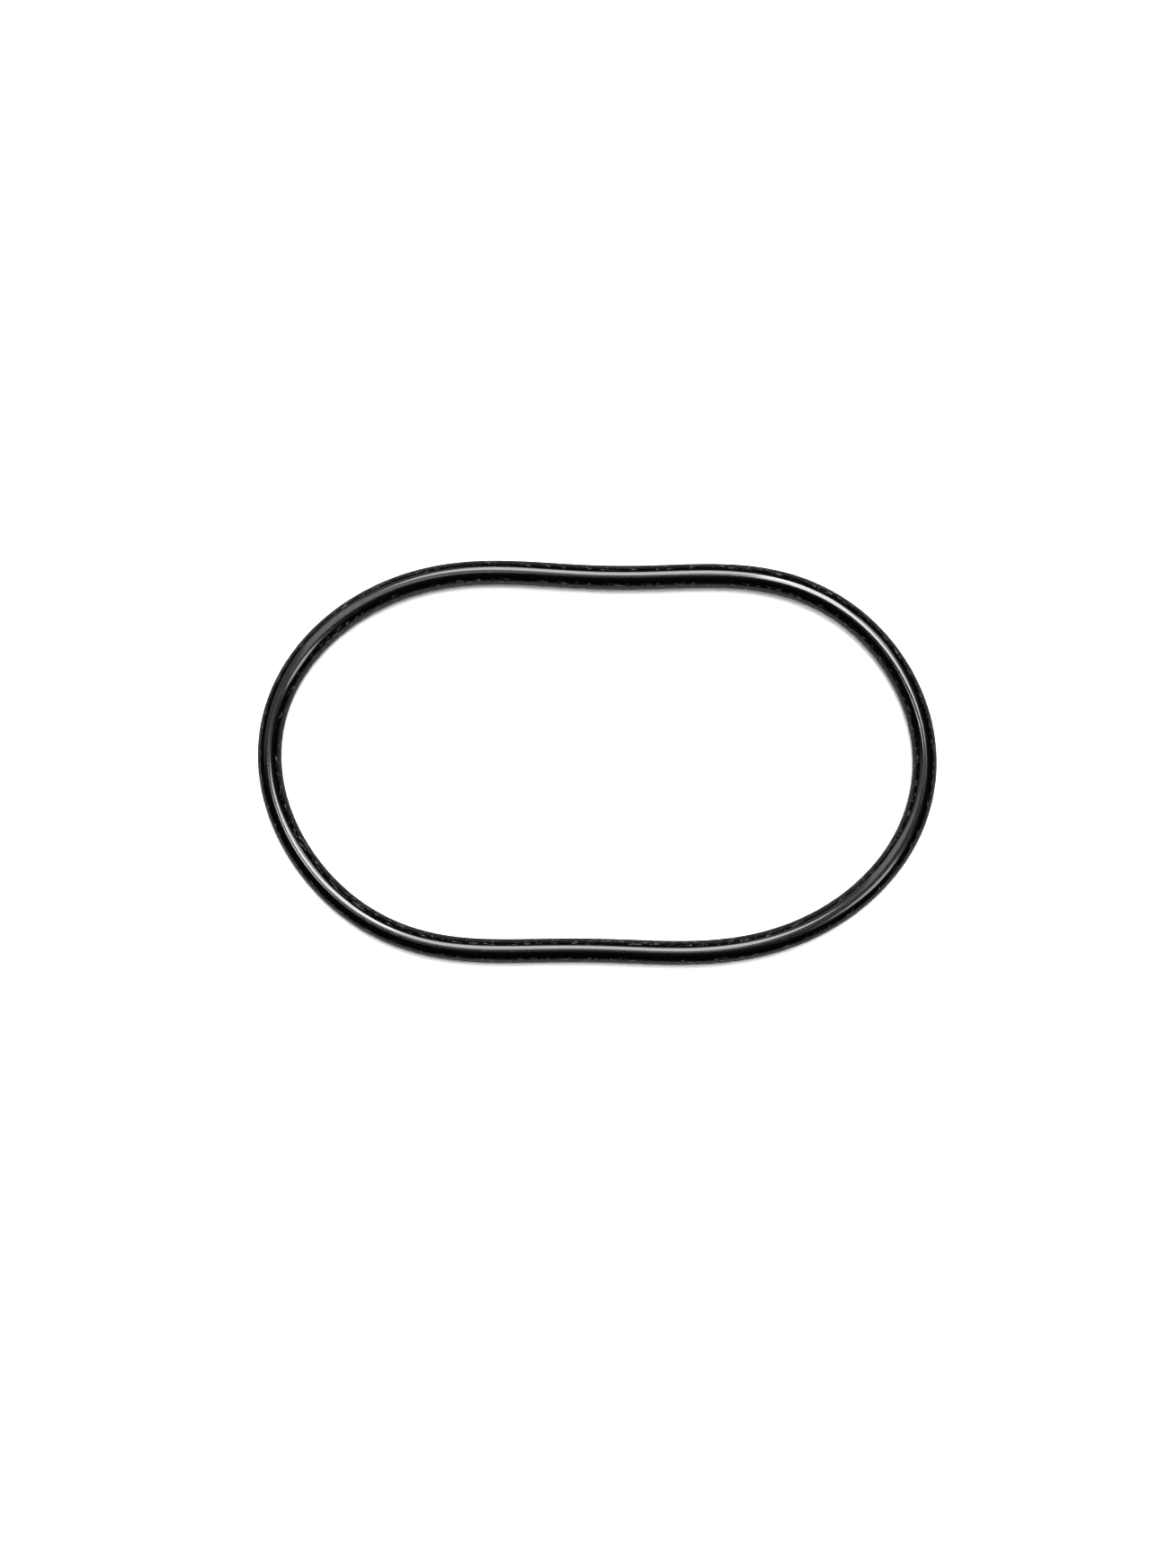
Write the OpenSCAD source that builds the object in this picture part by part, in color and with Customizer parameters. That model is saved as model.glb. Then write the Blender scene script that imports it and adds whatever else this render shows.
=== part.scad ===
// Rubber O-ring, lying loose and flat on a surface.
// It was moulded round, and has since taken the set of an oval with a slack waist in each long side.
// Bending does not stretch it: the mid-line keeps the length it was moulded at, whatever its shape.
// The origin is the middle of the loop, on the surface it lies on, with the long way along X.

/* [Moulded size] */
// Inside diameter of the ring when it lies round, as moulded
inside_d = 58.42; // [30:0.01:120]
// Diameter of the round section
section_d = 2.62; // [1.5:0.01:3.6]

/* [Set of the loop] */
// Swing of the heading twice round the loop, in degrees, which squashes it to an oval
oval_swing_angle = 22.5; // [0:0.1:28]
// Swing of the heading three times round, which makes one long side fuller than the other
side_swing_angle = 1.05; // [0:0.01:4]
// Where the three-fold swing starts, in degrees round the loop from its right end
side_start_angle = 24; // [0:1:120]
// Swing of the heading four times round, which draws in the waists
waist_swing_angle = 4.1; // [0:0.1:8]
// Where the four-fold swing starts
waist_start_angle = 44.6; // [0:0.1:90]
// Swing of the heading five times round, which pulls the loop a little out of true
skew_swing_angle = 0.32; // [0:0.01:2]
// Where the five-fold swing starts
skew_start_angle = 35.7; // [0:0.1:72]
// Swing of the heading six times round, which tightens the shoulders beside the waists
shoulder_swing_angle = 2.15; // [0:0.01:5]
// Where the six-fold swing starts
shoulder_start_angle = 54.7; // [0:0.1:60]
// Turn of the whole loop on the surface
lie_angle = -0.2; // [-10:0.1:10]

/* [Hidden] */

rubber_black = [0.07, 0.07, 0.075];
section_sides = 20;
stations = 184;

section_r = section_d / 2;
loop_length = PI * (inside_d + section_d);
step_length = loop_length / stations;

// The ways in which the set departs from round: times round the loop, swing and start
swings = [
    [2, oval_swing_angle, 0],
    [3, side_swing_angle, side_start_angle],
    [4, waist_swing_angle, waist_start_angle],
    [5, skew_swing_angle, skew_start_angle],
    [6, shoulder_swing_angle, shoulder_start_angle],
];

function total(values) = values * [for (v = values) 1];
function column(rows, i) = [for (row = rows) row[i]];

// Heading of the mid-line, in degrees, at a place on the loop from 0 at its right end to 360
function heading(place) =
    90 + lie_angle + place + total([for (s = swings) s[1] * sin(s[0] * (place - s[2]))]);

// Steps along the mid-line, with the small gap they leave at the end shared out between them
raw_steps = [
    for (i = [0 : stations - 1])
        let (h = heading((i + 0.5) * 360 / stations))
            step_length * [cos(h), sin(h)]
];
gap = [total(column(raw_steps, 0)), total(column(raw_steps, 1))];
steps = [for (s = raw_steps) s - gap / stations];

// Points of the mid-line, first as walked and then with the middle of the loop at the origin
walk = [for (i = 0, at = [0, 0]; i < stations; at = at + steps[i], i = i + 1) at];
middle = [for (i = [0, 1]) (max(column(walk, i)) + min(column(walk, i))) / 2];
mid_line = [for (p = walk) p - middle];

// Unit vector from the mid-line out of the loop, square to the steps on both sides of a point
function outward(i) =
    let (along = steps[i] + steps[(i + stations - 1) % stations])
        [along.y, -along.x] / norm(along);

// Points round the section at one station, from the outer side up over the top
function section_points(i) = [
    for (k = [0 : section_sides - 1])
        let (a = 360 * k / section_sides)
            [each mid_line[i] + section_r * cos(a) * outward(i), section_r + section_r * sin(a)]
];

// Number of a point in the swept skin, where both counts run on round the loop and the section
function skin_index(i, k) = (i % stations) * section_sides + k % section_sides;

module o_ring() {
    color(rubber_black)
        polyhedron(
            points = [for (i = [0 : stations - 1]) each section_points(i)],
            faces = [
                for (i = [0 : stations - 1], k = [0 : section_sides - 1]) [
                    skin_index(i, k),
                    skin_index(i, k + 1),
                    skin_index(i + 1, k + 1),
                    skin_index(i + 1, k)
                ]
            ],
            convexity = 4
        );
}

o_ring();
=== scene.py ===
"""Looks of the rubber O-ring: the ring, the surface it lies on, the light and the camera.

Lengths are in metres and angles in degrees. +Z is up, and the ring lies loose on z = 0 with the
long way of its oval along X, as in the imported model.
"""

import logging
import math
from collections.abc import Callable
from dataclasses import dataclass, field
from enum import Enum

import bpy
import numpy as np
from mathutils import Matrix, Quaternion, Vector


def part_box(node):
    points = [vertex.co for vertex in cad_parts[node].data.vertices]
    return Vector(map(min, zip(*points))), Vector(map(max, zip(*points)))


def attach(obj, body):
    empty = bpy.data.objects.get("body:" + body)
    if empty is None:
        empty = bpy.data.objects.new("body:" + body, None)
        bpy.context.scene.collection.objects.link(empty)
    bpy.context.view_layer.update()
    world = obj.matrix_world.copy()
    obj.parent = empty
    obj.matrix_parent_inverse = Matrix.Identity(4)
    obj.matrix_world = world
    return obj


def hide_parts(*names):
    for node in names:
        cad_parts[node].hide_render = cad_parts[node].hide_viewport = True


logging.basicConfig(level=logging.INFO, format="%(message)s")
log = logging.getLogger("o_ring")

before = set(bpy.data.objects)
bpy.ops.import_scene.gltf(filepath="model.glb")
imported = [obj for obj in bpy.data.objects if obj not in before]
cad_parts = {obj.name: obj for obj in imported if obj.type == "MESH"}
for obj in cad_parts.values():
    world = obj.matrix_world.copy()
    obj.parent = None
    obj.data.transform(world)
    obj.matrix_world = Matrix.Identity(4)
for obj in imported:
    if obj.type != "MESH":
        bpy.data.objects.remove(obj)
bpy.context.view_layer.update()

MM = 0.001
WHITE = (1.0, 1.0, 1.0, 1.0)
# Points whose heights differ by less lie at one height
SAME_HEIGHT = 0.001 * MM

# Steps between nodes on a board, and how many go in a row
NODE_STEP_X = 220
NODE_STEP_Y = -260
NODES_IN_ROW = 8

# Detail of the noise behind the fine grain
GRAIN_DETAIL = 3.0
# The noise behind the scuffs, and its values at which they start and are whole
SCUFF_SCALE = 4.0
SCUFF_DETAIL = 4.0
SCUFF_ROUGHNESS = 0.7
SCUFF_FROM = 0.56
SCUFF_TO = 0.62


class Outline(Enum):
    """Outlines that the face of a lamp can have."""

    SQUARE = "RECTANGLE"
    ROUND = "ELLIPSE"

    @property
    def fill(self) -> float:
        """Gives the share of its box that the outline fills."""
        return math.pi / 4 if self is Outline.ROUND else 1.0


@dataclass(frozen=True)
class Swing:
    """One way in which the set of the loop departs from round.

    Attributes:
        folds: How often it comes and goes on one trip round the loop.
        angle: How far the heading swings to each side, in degrees.
        start: Where on the loop it starts, in degrees from the right end.
    """

    folds: int
    angle: float
    start: float

    def turn(self, place: np.ndarray) -> np.ndarray:
        """Gives the turn of the heading, in degrees, at places in degrees round the loop."""
        return self.angle * np.sin(np.radians(self.folds * (place - self.start)))


@dataclass(frozen=True)
class RubberFinish:
    """Moulded black rubber, smooth and with a wet-looking gloss.

    Attributes:
        black: Colour of the clean rubber.
        bloom: Colour of the thin bloom in the scuffs of the flanks.
        roughness: Roughness of the rubber under its gloss.
        matt: Roughness in the scuffs.
        gloss_roughness: Roughness of the gloss itself.
        ior: Refractive index of rubber and gloss.
        scuffs_along: Scuffs on one trip round the loop.
        scuffs_across: Scuffs on one trip round the section.
        crown: Height above which the skin is clean, as a share of the section.
        flank: Height below which the scuffs are whole, as a share of the section.
        grain: Grains of the mould's texture in a metre.
        grain_roughness: How much fine detail the grain has.
        relief: Depth of the grain.
        relief_strength: How strongly the grain turns the light.
    """

    black: tuple[float, float, float, float] = (0.001, 0.001, 0.0011, 1.0)
    bloom: tuple[float, float, float, float] = (0.15, 0.15, 0.152, 1.0)
    roughness: float = 0.18
    matt: float = 0.5
    gloss_roughness: float = 0.08
    ior: float = 1.5
    scuffs_along: float = 62.0
    scuffs_across: float = 10.0
    crown: float = 0.94
    flank: float = 0.87
    grain: float = 9000.0
    grain_roughness: float = 0.6
    relief: float = 0.004 * MM
    relief_strength: float = 0.5


@dataclass(frozen=True)
class PaperFinish:
    """The pale, rough surface that the ring lies on.

    Attributes:
        pale: Colour of the sheet that the ring lies on, as the ring mirrors it.
        table: Colour of the table beyond that sheet, as the ring mirrors it.
        sheet_from: Distance from the ring's middle where the sheet starts to give way to it.
        sheet_to: Distance where only the table is left.
        lift: How much brighter the camera sees it, so that it is white outside the shadow.
        even_from: Distance from the ring's middle where it starts to turn an even white.
        even_to: Distance where it is an even white.
        grain: Grains in a metre.
        grain_roughness: How much fine detail the grain has.
        relief: Depth of the grain.
        relief_strength: How strongly the grain turns the light.
    """

    pale: tuple[float, float, float, float] = (0.24, 0.24, 0.24, 1.0)
    table: tuple[float, float, float, float] = (0.05, 0.05, 0.05, 1.0)
    sheet_from: float = 0.045
    sheet_to: float = 0.09
    lift: float = 2.3
    even_from: float = 0.12
    even_to: float = 0.24
    grain: float = 2600.0
    grain_roughness: float = 0.5
    relief: float = 0.01 * MM
    relief_strength: float = 0.4


class NodeBoard:
    """Places and links the nodes of one material, world or node group."""

    def __init__(self, tree: bpy.types.NodeTree) -> None:
        """Takes an empty or cleared node tree."""
        self.tree = tree
        self.count = 0

    def add(self, kind: str, **settings: object) -> bpy.types.Node:
        """Adds a node.

        Args:
            kind: The node's type, such as "ShaderNodeMath".
            settings: Properties to set on it.

        Returns:
            The new node.
        """
        node = self.tree.nodes.new(kind)
        row, column = divmod(self.count, NODES_IN_ROW)
        node.location = (NODE_STEP_X * column, NODE_STEP_Y * row)
        self.count += 1
        for name, value in settings.items():
            setattr(node, name, value)
        return node

    def feed(self, node: bpy.types.Node, **inputs: object) -> bpy.types.Node:
        """Sets or links inputs of a node, named with _ for each space, or by number as i0, i1.

        Args:
            node: The node.
            inputs: For each input, a socket to link or a plain value.

        Returns:
            The same node.
        """
        for name, value in inputs.items():
            key = int(name[1:]) if name[1:].isdigit() else name.replace("_", " ")
            if isinstance(value, bpy.types.NodeSocket):
                self.tree.links.new(value, node.inputs[key])
            else:
                node.inputs[key].default_value = value
        return node

    def math(self, operation: str, *values: object) -> bpy.types.NodeSocket:
        """Adds a Math node.

        Args:
            operation: Its operation, such as "MULTIPLY".
            values: Sockets or numbers that it works on.

        Returns:
            The socket of its result.
        """
        node = self.add("ShaderNodeMath", operation=operation)
        self.feed(node, **{f"i{i}": value for i, value in enumerate(values)})
        return node.outputs[0]

    def ramp(self, value: bpy.types.NodeSocket, low: float, high: float) -> bpy.types.NodeSocket:
        """Adds a smooth step.

        Args:
            value: The value that it reads.
            low: Where it gives 0.
            high: Where it gives 1, which may be below low.

        Returns:
            The socket of its result.
        """
        node = self.add("ShaderNodeMapRange", interpolation_type="SMOOTHSTEP")
        self.feed(node, Value=value, From_Min=low, From_Max=high, To_Min=0.0, To_Max=1.0)
        return node.outputs["Result"]

    def blend(self, share: object, first: object, second: object) -> bpy.types.NodeSocket:
        """Adds a blend of two colours.

        Args:
            share: Share of the second colour, from 0 to 1.
            first: The first colour or its socket.
            second: The second colour or its socket.

        Returns:
            The socket of the blended colour.
        """
        node = self.add("ShaderNodeMix", data_type="RGBA")
        self.feed(node, i0=share, i6=first, i7=second)
        return node.outputs[2]

    def between(
        self, value: bpy.types.NodeSocket, start: object, end: object
    ) -> bpy.types.NodeSocket:
        """Adds a linear map.

        Args:
            value: The value that it reads, from 0 to 1.
            start: Number or socket that it gives at 0.
            end: Number or socket that it gives at 1.

        Returns:
            The socket of its result.
        """
        node = self.add("ShaderNodeMapRange")
        self.feed(node, Value=value, To_Min=start, To_Max=end)
        return node.outputs["Result"]

    def mix(
        self, share: bpy.types.NodeSocket, first: bpy.types.Node, second: bpy.types.Node
    ) -> bpy.types.Node:
        """Adds a shader that goes from the first to the second as share goes from 0 to 1."""
        node = self.add("ShaderNodeMixShader")
        return self.feed(node, i0=share, i1=first.outputs[0], i2=second.outputs[0])


def group_sockets(
    group: bpy.types.NodeTree, inputs: dict[str, str], outputs: dict[str, str]
) -> None:
    """Makes the named inputs and outputs of a node group.

    Args:
        group: The group.
        inputs: Socket type for each input's name.
        outputs: Socket type for each output's name.
    """
    for in_out, sockets in (("INPUT", inputs), ("OUTPUT", outputs)):
        for name, kind in sockets.items():
            group.interface.new_socket(name=name, in_out=in_out, socket_type=kind)


def build_grain_group() -> bpy.types.NodeTree:
    """Builds the fine grain that rubber and paper share.

    Returns:
        The group, which puts out the height of the grain.
    """
    group = bpy.data.node_groups.new("fine_grain", "ShaderNodeTree")
    group_sockets(
        group,
        {"Place": "NodeSocketVector", "Grains": "NodeSocketFloat", "Roughness": "NodeSocketFloat"},
        {"Height": "NodeSocketFloat"},
    )
    board = NodeBoard(group)
    given = board.add("NodeGroupInput").outputs
    noise = board.add("ShaderNodeTexNoise", noise_dimensions="3D")
    board.feed(
        noise,
        Vector=given["Place"],
        Scale=given["Grains"],
        Detail=GRAIN_DETAIL,
        Roughness=given["Roughness"],
    )
    board.feed(board.add("NodeGroupOutput"), Height=noise.outputs["Fac"])
    return group


def build_scuff_group() -> bpy.types.NodeTree:
    """Builds scuffs that run along a ring, without a seam, from the ring's own UV map.

    Returns:
        The group, which puts out a mask that is 1 in the scuffs.
    """
    group = bpy.data.node_groups.new("ring_scuffs", "ShaderNodeTree")
    group_sockets(
        group,
        {"UV": "NodeSocketVector", "Along": "NodeSocketFloat", "Across": "NodeSocketFloat"},
        {"Mask": "NodeSocketFloat"},
    )
    board = NodeBoard(group)
    given = board.add("NodeGroupInput").outputs
    uv = board.feed(board.add("ShaderNodeSeparateXYZ"), Vector=given["UV"]).outputs
    parts = []
    for turns, share in ((given["Along"], uv["X"]), (given["Across"], uv["Y"])):
        angle = board.math("MULTIPLY", share, math.tau)
        reach = board.math("DIVIDE", turns, math.tau)
        for wave in ("COSINE", "SINE"):
            parts.append(board.math("MULTIPLY", board.math(wave, angle), reach))
    place = board.feed(board.add("ShaderNodeCombineXYZ"), X=parts[0], Y=parts[1], Z=parts[2])
    noise = board.add("ShaderNodeTexNoise", noise_dimensions="4D")
    board.feed(
        noise,
        Vector=place.outputs[0],
        W=parts[3],
        Scale=SCUFF_SCALE,
        Detail=SCUFF_DETAIL,
        Roughness=SCUFF_ROUGHNESS,
    )
    mask = board.ramp(noise.outputs["Fac"], SCUFF_FROM, SCUFF_TO)
    board.feed(board.add("NodeGroupOutput"), Mask=mask)
    return group


class Materials:
    """Builds the materials and the node groups that they share."""

    def __init__(self) -> None:
        """Builds the shared node groups."""
        self.grain = build_grain_group()
        self.scuffs = build_scuff_group()

    @staticmethod
    def start(name: str) -> tuple[bpy.types.Material, NodeBoard, bpy.types.Node]:
        """Starts an empty material.

        Args:
            name: The material's name.

        Returns:
            The material, the board of its nodes, and its output node.
        """
        material = bpy.data.materials.new(name)
        material.use_nodes = True
        material.node_tree.nodes.clear()
        board = NodeBoard(material.node_tree)
        return material, board, board.add("ShaderNodeOutputMaterial")

    def bump(self, board: NodeBoard, finish: RubberFinish | PaperFinish) -> bpy.types.NodeSocket:
        """Adds the bump of a finish's fine grain.

        Args:
            board: Board of the material.
            finish: The finish that says how fine and deep it is.

        Returns:
            The socket of the bumped normal.
        """
        grain = board.add("ShaderNodeGroup", node_tree=self.grain)
        place = board.add("ShaderNodeTexCoord").outputs["Object"]
        board.feed(grain, Place=place, Grains=finish.grain, Roughness=finish.grain_roughness)
        relief = board.feed(
            board.add("ShaderNodeBump"),
            Strength=finish.relief_strength,
            Distance=finish.relief,
            Height=grain.outputs["Height"],
        )
        return relief.outputs["Normal"]

    def rubber(self, finish: RubberFinish, section_d: float) -> bpy.types.Material:
        """Makes black rubber whose flanks carry fine scuffs, and whose crown is clean.

        Args:
            finish: Its colours, roughness and texture.
            section_d: Diameter of the section that it covers.

        Returns:
            The material.
        """
        material, board, output = self.start("moulded_rubber")
        place = board.add("ShaderNodeTexCoord").outputs
        scuffs = board.add("ShaderNodeGroup", node_tree=self.scuffs)
        board.feed(scuffs, UV=place["UV"], Along=finish.scuffs_along, Across=finish.scuffs_across)
        height = board.feed(board.add("ShaderNodeSeparateXYZ"), Vector=place["Object"]).outputs["Z"]
        flank = board.ramp(height, finish.crown * section_d, finish.flank * section_d)
        worn = board.math("MULTIPLY", flank, scuffs.outputs["Mask"])
        skin = board.add("ShaderNodeBsdfPrincipled")
        board.feed(
            skin,
            Base_Color=board.blend(worn, finish.black, finish.bloom),
            Roughness=board.between(worn, finish.roughness, finish.matt),
            IOR=finish.ior,
            Coat_Weight=1.0,
            Coat_Roughness=finish.gloss_roughness,
            Coat_IOR=finish.ior,
            Normal=self.bump(board, finish),
        )
        board.feed(output, Surface=skin.outputs[0])
        return material

    def paper(self, finish: PaperFinish) -> bpy.types.Material:
        """Makes a rough pale surface, lifted to white for the camera outside the close shadow.

        Args:
            finish: Its colours, its lift and its grain.

        Returns:
            The material.
        """
        material, board, output = self.start("pale_surface")
        normal = self.bump(board, finish)
        place = board.add("ShaderNodeTexCoord").outputs["Object"]
        distance = board.feed(board.add("ShaderNodeVectorMath", operation="LENGTH"), i0=place)
        beyond = board.ramp(distance.outputs["Value"], finish.sheet_from, finish.sheet_to)
        tone = board.blend(beyond, finish.pale, finish.table)
        lit = board.add("ShaderNodeBsdfDiffuse")
        board.feed(lit, Color=tone, Roughness=1.0, Normal=normal)
        lifted = board.add("ShaderNodeBsdfDiffuse")
        board.feed(lifted, Color=(finish.lift,) * 3 + (1.0,), Roughness=0.0, Normal=normal)
        even = board.feed(board.add("ShaderNodeEmission"), Color=WHITE, Strength=1.0)
        far = board.ramp(distance.outputs["Value"], finish.even_from, finish.even_to)
        camera_ray = board.add("ShaderNodeLightPath").outputs["Is Camera Ray"]
        both = board.mix(camera_ray, lit, board.mix(far, lifted, even))
        board.feed(output, Surface=both.outputs[0])
        return material


@dataclass
class LooseRing:
    """The O-ring: moulded round with a fine mould line, then laid down in its waisted oval.

    Attributes:
        section_d: Diameter of the round section.
        box_length: Overall length of the lying ring along X.
        lie_angle: Turn of the whole loop on the surface.
        swings: The ways in which its set departs from round.
        stations: Steps in which the mid-line is worked out.
        moulded_sides: Sides of the round ring's mesh along the loop, before they are cut finer.
        cuts: Cuts that then go across each of these sides.
        section_sides: Sides of the mesh round the section.
        mould_line_w: Width of the line left where the mould's halves meet.
        mould_line_h: How far that line stands out.
        unevenness: How far the rubber's skin wanders.
        unevenness_size: Size of the patches in which it wanders.
        mid_line: Points of the lying ring's mid-line, one for each station.
        outward: Unit vectors from these points out of the loop.
        mean_radius: Radius of the mid-line while the ring is round.
    """

    section_d: float
    box_length: float
    lie_angle: float = -0.2
    swings: tuple[Swing, ...] = (
        Swing(2, 22.5, 0.0),
        Swing(3, 1.05, 24.0),
        Swing(4, 4.1, 44.6),
        Swing(5, 0.32, 35.7),
        Swing(6, 2.15, 54.7),
    )
    stations: int = 900
    moulded_sides: int = 256
    cuts: int = 2
    section_sides: int = 64
    mould_line_w: float = 0.14 * MM
    mould_line_h: float = 0.03 * MM
    unevenness: float = 0.008 * MM
    unevenness_size: float = 4.0 * MM
    mid_line: np.ndarray = field(init=False, repr=False)
    outward: np.ndarray = field(init=False, repr=False)
    mean_radius: float = field(init=False)

    def __post_init__(self) -> None:
        """Works out the mid-line, at the size that gives the overall length."""
        step = 360.0 / self.stations
        heading = self.heading((np.arange(self.stations) + 0.5) * step)
        steps = np.column_stack((np.cos(heading), np.sin(heading)))
        steps -= steps.mean(axis=0)
        walk = np.vstack(((0.0, 0.0), np.cumsum(steps, axis=0)[:-1]))
        walk -= (walk.max(axis=0) + walk.min(axis=0)) / 2
        step_length = (self.box_length - self.section_d) / np.ptp(walk[:, 0])
        along = steps + np.roll(steps, 1, axis=0)
        along /= np.linalg.norm(along, axis=1)[:, None]
        self.mid_line = walk * step_length
        self.outward = np.column_stack((along[:, 1], -along[:, 0]))
        self.mean_radius = step_length * self.stations / math.tau

    def heading(self, place: np.ndarray) -> np.ndarray:
        """Gives the mid-line's heading, in radians, at places in degrees round the loop."""
        turns = sum(swing.turn(place) for swing in self.swings)
        return np.radians(90.0 + self.lie_angle + place + turns)

    def mould(self) -> bpy.types.Object:
        """Moulds the ring round, as a torus that lies on the surface.

        Returns:
            The ring, round, with the mould line on its inner and outer side.
        """
        bpy.ops.object.select_all(action="DESELECT")
        bpy.ops.mesh.primitive_torus_add(
            major_radius=self.mean_radius,
            minor_radius=self.section_d / 2,
            major_segments=self.moulded_sides,
            minor_segments=self.section_sides,
            location=(0.0, 0.0, self.section_d / 2),
            generate_uvs=True,
        )
        ring = bpy.context.object
        ring.name = ring.data.name = "rubber_ring"
        bpy.ops.object.transform_apply(location=True, rotation=True, scale=True)
        self.raise_mould_line(ring)
        self.cut_finer(ring)
        return ring

    @staticmethod
    def points(ring: bpy.types.Object) -> np.ndarray:
        """Reads the points of a mesh.

        Args:
            ring: The mesh's object, in object mode.

        Returns:
            The points, one in each row.
        """
        points = np.empty(len(ring.data.vertices) * 3)
        ring.data.vertices.foreach_get("co", points)
        return points.reshape(-1, 3)

    @staticmethod
    def pick_edges(ring: bpy.types.Object, wanted: Callable[[int, int], bool]) -> None:
        """Selects edges, and goes over to edit mode.

        Args:
            ring: The ring, in object mode.
            wanted: Says whether the edge between two numbered points is selected.
        """
        bpy.ops.object.mode_set(mode="EDIT")
        bpy.ops.mesh.select_mode(type="EDGE")
        bpy.ops.mesh.select_all(action="DESELECT")
        bpy.ops.object.mode_set(mode="OBJECT")
        for edge in ring.data.edges:
            edge.select = wanted(*edge.vertices)
        bpy.ops.object.mode_set(mode="EDIT")

    def raise_mould_line(self, ring: bpy.types.Object) -> None:
        """Bevels the two edges at half height into narrow strips, and lifts these off the skin.

        Args:
            ring: The ring, still round.
        """
        level = np.abs(self.points(ring)[:, 2] - self.section_d / 2) < SAME_HEIGHT
        self.pick_edges(ring, lambda first, second: bool(level[first] and level[second]))
        bpy.ops.mesh.bevel(offset_type="OFFSET", offset=self.mould_line_w / 2, segments=1)
        bpy.ops.mesh.select_mode(type="FACE")
        bpy.ops.mesh.extrude_region_shrink_fatten(
            TRANSFORM_OT_shrink_fatten={"value": self.mould_line_h}
        )
        bpy.ops.mesh.select_all(action="SELECT")
        bpy.ops.mesh.normals_make_consistent(inside=False)
        bpy.ops.object.mode_set(mode="OBJECT")

    def cut_finer(self, ring: bpy.types.Object) -> None:
        """Cuts the ring's sides finer along the loop.

        Args:
            ring: The ring, still round.
        """
        points = self.points(ring)
        angle = np.arctan2(points[:, 1], points[:, 0])
        half_side = math.pi / self.moulded_sides

        def runs_along(first: int, second: int) -> bool:
            """Says whether an edge runs along the loop, and not round the section."""
            return abs(math.remainder(angle[first] - angle[second], math.tau)) > half_side

        self.pick_edges(ring, runs_along)
        bpy.ops.mesh.subdivide(number_cuts=self.cuts)
        bpy.ops.object.mode_set(mode="OBJECT")

    def at_stations(self, rows: np.ndarray, turns: np.ndarray) -> np.ndarray:
        """Reads a list with one row for each station, also between stations.

        Args:
            rows: The list.
            turns: Where to read it, in stations from the right end.

        Returns:
            A row for each place.
        """
        before = np.floor(turns).astype(int)
        share = (turns - before)[:, None]
        first, second = rows[before % self.stations], rows[(before + 1) % self.stations]
        return first * (1 - share) + second * share

    def lay_down(self, ring: bpy.types.Object) -> None:
        """Bends the round ring into the oval that it lies in, without stretching its mid-line.

        Args:
            ring: The ring, still round.
        """
        points = self.points(ring)
        angle = np.arctan2(points[:, 1], points[:, 0])
        side = math.tau / self.moulded_sides
        # The cuts lie on straight sides, so they are first taken out to the round
        short = math.cos(side / 2) / np.cos(np.mod(angle, side) - side / 2)
        reach = np.hypot(points[:, 0], points[:, 1]) / short - self.mean_radius
        turns = angle / math.tau * self.stations
        middle = self.at_stations(self.mid_line, turns)
        out = self.at_stations(self.outward, turns)
        out /= np.linalg.norm(out, axis=1)[:, None]
        points[:, :2] = middle + out * reach[:, None]
        ring.data.vertices.foreach_set("co", points.ravel())
        ring.data.update()

    def roughen(self, ring: bpy.types.Object) -> None:
        """Lets the skin wander a little, as moulded rubber does, so that its highlights waver.

        Args:
            ring: The ring, laid down.
        """
        clouds = bpy.data.textures.new("skin_wander", "CLOUDS")
        clouds.noise_scale = self.unevenness_size
        clouds.noise_depth = 1
        wander = ring.modifiers.new("skin_wander", "DISPLACE")
        wander.texture = clouds
        wander.texture_coords = "LOCAL"
        wander.strength = self.unevenness
        wander.mid_level = 0.5
        bpy.ops.object.modifier_apply(modifier=wander.name)

    def build(self, rubber: bpy.types.Material) -> bpy.types.Object:
        """Makes the ring, gives it its material, and puts it in place of the CAD solid.

        Args:
            rubber: The material.

        Returns:
            The finished ring.
        """
        ring = self.mould()
        self.lay_down(ring)
        self.roughen(ring)
        bpy.ops.object.shade_smooth()
        ring.data.materials.append(rubber)
        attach(ring, "root")
        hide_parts("o_ring")
        log.info("%s: %d faces, %s", ring.name, len(ring.data.polygons), tuple(ring.dimensions))
        return ring


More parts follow.
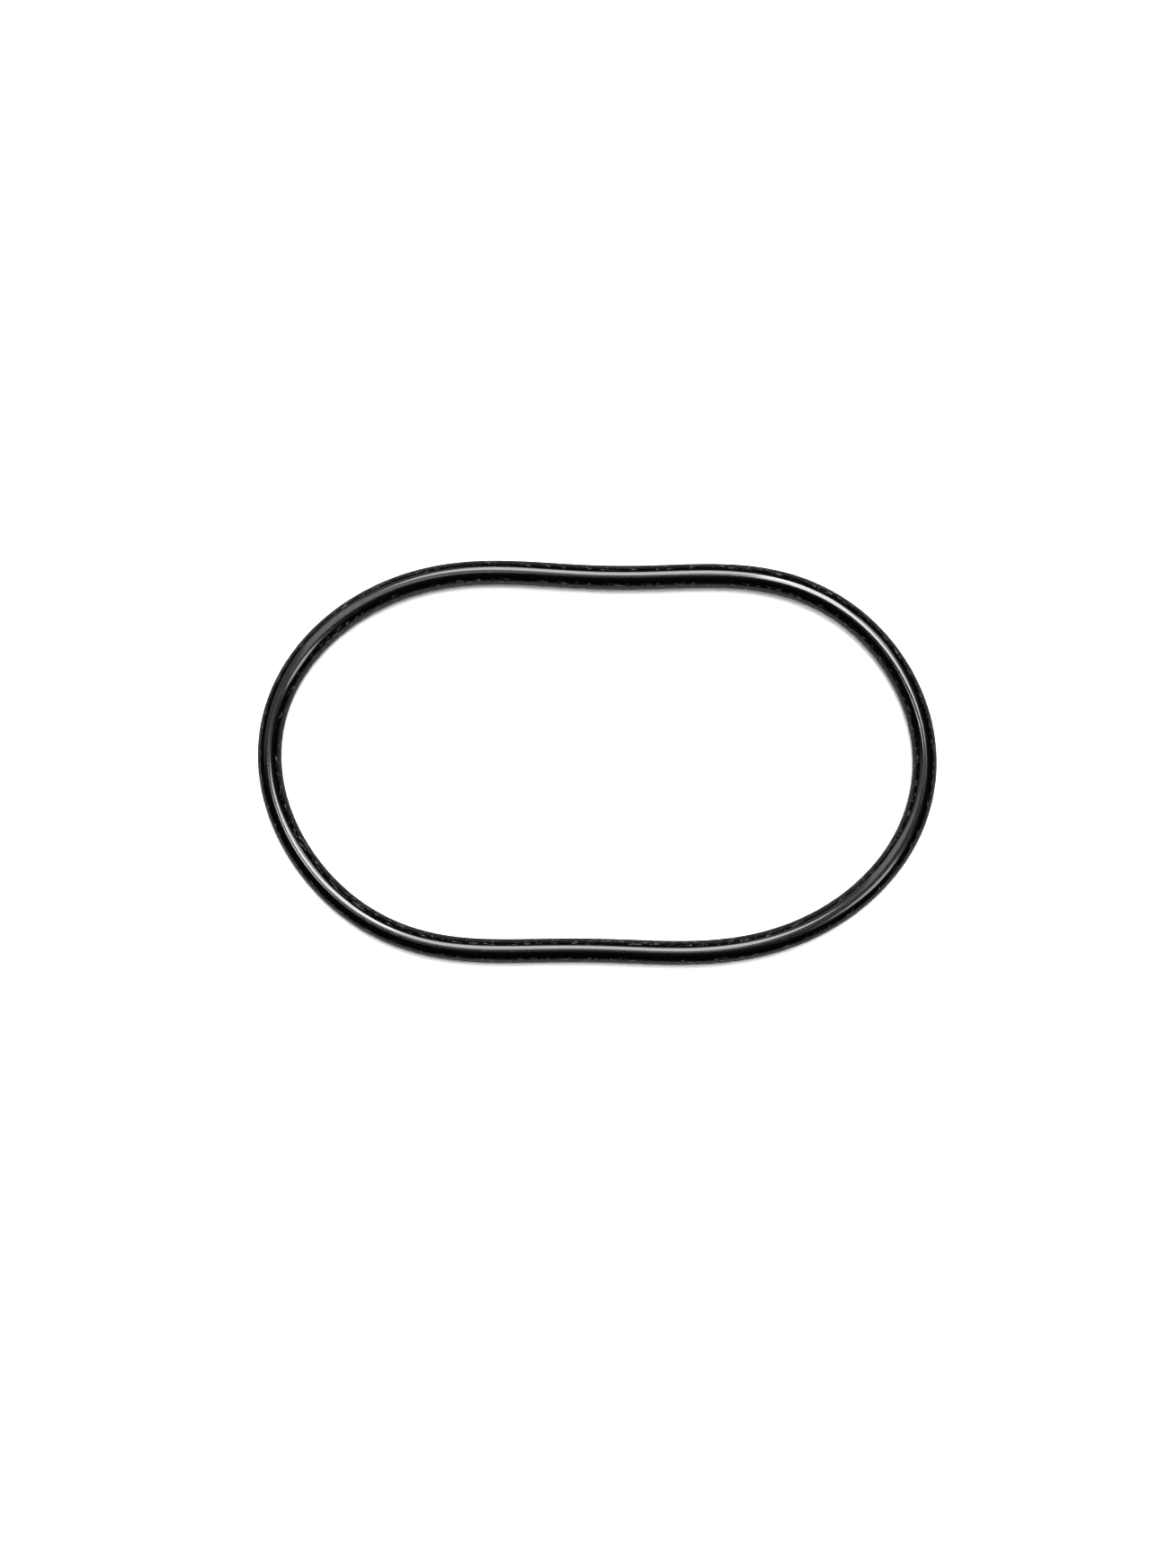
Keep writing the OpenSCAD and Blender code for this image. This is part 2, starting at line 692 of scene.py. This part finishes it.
@dataclass(frozen=True)
class Lamp:
    """A flat lamp that faces the ring.

    Attributes:
        name: The lamp's name.
        azimuth: Direction it stands in, from +X towards +Y.
        zenith: Angle down from straight above.
        width: Angle it takes up across.
        height: Angle it takes up along its meridian.
        radiance: How bright its face is, where 1 is white.
        roll: Turn of its face, anticlockwise on a map of the ceiling seen from above.
        distance: How far off it hangs.
        outline: The outline of its face.
    """

    name: str
    azimuth: float
    zenith: float
    width: float
    height: float
    radiance: float
    roll: float = 0.0
    distance: float = 3.0
    outline: Outline = Outline.SQUARE

    def hang(self) -> bpy.types.Object:
        """Hangs the lamp so that it faces the ring's middle.

        Returns:
            The lamp.
        """
        across, down = math.radians(self.azimuth), math.radians(self.zenith)
        away = Vector(
            (math.sin(down) * math.cos(across), math.sin(down) * math.sin(across), math.cos(down))
        )
        data = bpy.data.lights.new(self.name, "AREA")
        data.shape = self.outline.value
        data.size = 2 * self.distance * math.tan(math.radians(self.width / 2))
        data.size_y = 2 * self.distance * math.tan(math.radians(self.height / 2))
        area = data.size * data.size_y * self.outline.fill
        # A flat face of even radiance gives off pi times its radiance from each square metre
        data.energy = self.radiance * math.pi * area
        lamp = bpy.data.objects.new(self.name, data)
        lamp.location = away * self.distance
        lamp.rotation_mode = "QUATERNION"
        roll = Quaternion((0.0, 0.0, 1.0), math.radians(self.roll))
        lamp.rotation_quaternion = away.to_track_quat("Z", "Y") @ roll
        lamp.visible_camera = False
        bpy.context.scene.collection.objects.link(lamp)
        log.info("%s: %.2f W", self.name, data.energy)
        return lamp


@dataclass
class Studio:
    """The surface under the ring, the lamps, the room and the camera.

    Attributes:
        floor_radius: How far the pale surface goes.
        floor_sides: Sides of its outline.
        room: Radiance of the unlit room.
        horizon: Radiance of the room low down behind the picture, just above the surface.
        near_horizon: The same on the side of the picture's lower edge.
        horizon_top: Height of that low part, as the sine of its angle.
        behind_y: Direction towards the back that counts as behind, as its part along +Y.
        front_y: Direction towards the front that counts as in front, likewise.
        lamps: The lamps: the window and its parts for the long streaks, the wall and the card
            for the soft sheen beside them, and two small ones for the short glints.
        lens: Focal length of the camera, in millimetres.
        sensor_width: Width of its sensor, in millimetres.
        camera_distance: How far the camera is from what it looks at.
        camera_aim: Point that it looks at, on the ring's mid-plane.
        camera_slant: How far it stands off the vertical, on the right of the ring.
        camera_roll: Turn of the camera about its own line of sight.
    """

    floor_radius: float = 6.0
    floor_sides: int = 96
    room: float = 0.003
    horizon: float = 0.05
    near_horizon: float = 0.06
    horizon_top: float = 0.17
    behind_y: float = 0.4
    front_y: float = -0.6
    # Name, azimuth, zenith, width, height and radiance, and then what departs from a plain lamp
    lamps: tuple[Lamp, ...] = (
        Lamp("window", 60.2, 21.7, 14.5, 32.5, 10.8, roll=18.1),
        Lamp("window_edge", 40.5, 31.0, 8.5, 27.7, 3.2, roll=12.6),
        Lamp("window_side", 95.3, 33.9, 23.1, 26.1, 6.5, roll=46.0),
        Lamp("pale_wall", 134.5, 45.7, 40.8, 60.3, 0.42, roll=-37.2),
        Lamp("near_card", 139.7, 32.8, 14.3, 49.3, 1.27, roll=-2.0, distance=0.19),
        Lamp("left_glint", 193.6, 12.3, 3.4, 8.5, 13.6, roll=23.1, outline=Outline.ROUND),
        Lamp("right_glint", 317.2, 26.0, 9.0, 26.0, 4.6, roll=6.5, outline=Outline.ROUND),
    )
    lens: float = 62.0
    sensor_width: float = 36.0
    camera_distance: float = 300.98 * MM
    camera_aim: tuple[float, float] = (-0.785 * MM, -2.408 * MM)
    camera_slant: float = 3.0
    camera_roll: float = 0.068

    def lay_floor(self, paper: bpy.types.Material) -> bpy.types.Object:
        """Lays the pale surface under the ring.

        Args:
            paper: Its material.

        Returns:
            The surface.
        """
        bpy.ops.object.select_all(action="DESELECT")
        bpy.ops.mesh.primitive_circle_add(
            vertices=self.floor_sides,
            radius=self.floor_radius,
            fill_type="NGON",
            location=(0.0, 0.0, 0.0),
        )
        floor = bpy.context.object
        floor.name = floor.data.name = "pale_floor"
        floor.data.materials.append(paper)
        log.info("%s: radius %.1f m", floor.name, self.floor_radius)
        return floor

    def light_room(self) -> None:
        """Makes the room: dim above, paler low down, and white where the camera sees past it."""
        world = bpy.data.worlds.new("room")
        bpy.context.scene.world = world
        world.use_nodes = True
        world.node_tree.nodes.clear()
        board = NodeBoard(world.node_tree)
        direction = board.add("ShaderNodeTexCoord").outputs["Generated"]
        parts = board.feed(board.add("ShaderNodeSeparateXYZ"), Vector=direction).outputs
        front = board.ramp(parts["Y"], self.behind_y, self.front_y)
        rim = board.between(front, self.horizon, self.near_horizon)
        low = board.ramp(parts["Z"], self.horizon_top, 0.0)
        glow = board.between(low, self.room, rim)
        dim = board.feed(board.add("ShaderNodeBackground"), Color=WHITE, Strength=glow)
        white = board.feed(board.add("ShaderNodeBackground"), Color=WHITE, Strength=1.0)
        camera_ray = board.add("ShaderNodeLightPath").outputs["Is Camera Ray"]
        both = board.mix(camera_ray, dim, white)
        board.feed(board.add("ShaderNodeOutputWorld"), Surface=both.outputs[0])

    def set_camera(self, height: float) -> bpy.types.Object:
        """Hangs the camera almost straight above, so that the ring falls as in the photograph.

        Args:
            height: Height of the ring's mid-plane.

        Returns:
            The camera.
        """
        data = bpy.data.cameras.new("camera")
        data.lens = self.lens
        data.sensor_width = self.sensor_width
        camera = bpy.data.objects.new("camera", data)
        bpy.context.scene.collection.objects.link(camera)
        bpy.context.scene.camera = camera
        slant = math.radians(self.camera_slant)
        away = Vector((math.sin(slant), 0.0, math.cos(slant)))
        camera.location = Vector((*self.camera_aim, height)) + away * self.camera_distance
        camera.rotation_euler = (0.0, slant, math.radians(self.camera_roll))
        return camera

    def build(self, paper: bpy.types.Material, ring: LooseRing) -> None:
        """Sets up everything round the ring.

        Args:
            paper: Material of the surface.
            ring: The ring that lies on it.
        """
        self.lay_floor(paper)
        self.light_room()
        for lamp in self.lamps:
            lamp.hang()
        self.set_camera(ring.section_d / 2)
        bpy.context.scene.view_settings.view_transform = "Standard"


def main() -> None:
    """Builds the ring and the studio."""
    low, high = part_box("o_ring")
    ring = LooseRing(section_d=high.z - low.z, box_length=high.x - low.x)
    materials = Materials()
    ring.build(materials.rubber(RubberFinish(), ring.section_d))
    Studio().build(materials.paper(PaperFinish()), ring)


if __name__ == "__main__":
    main()
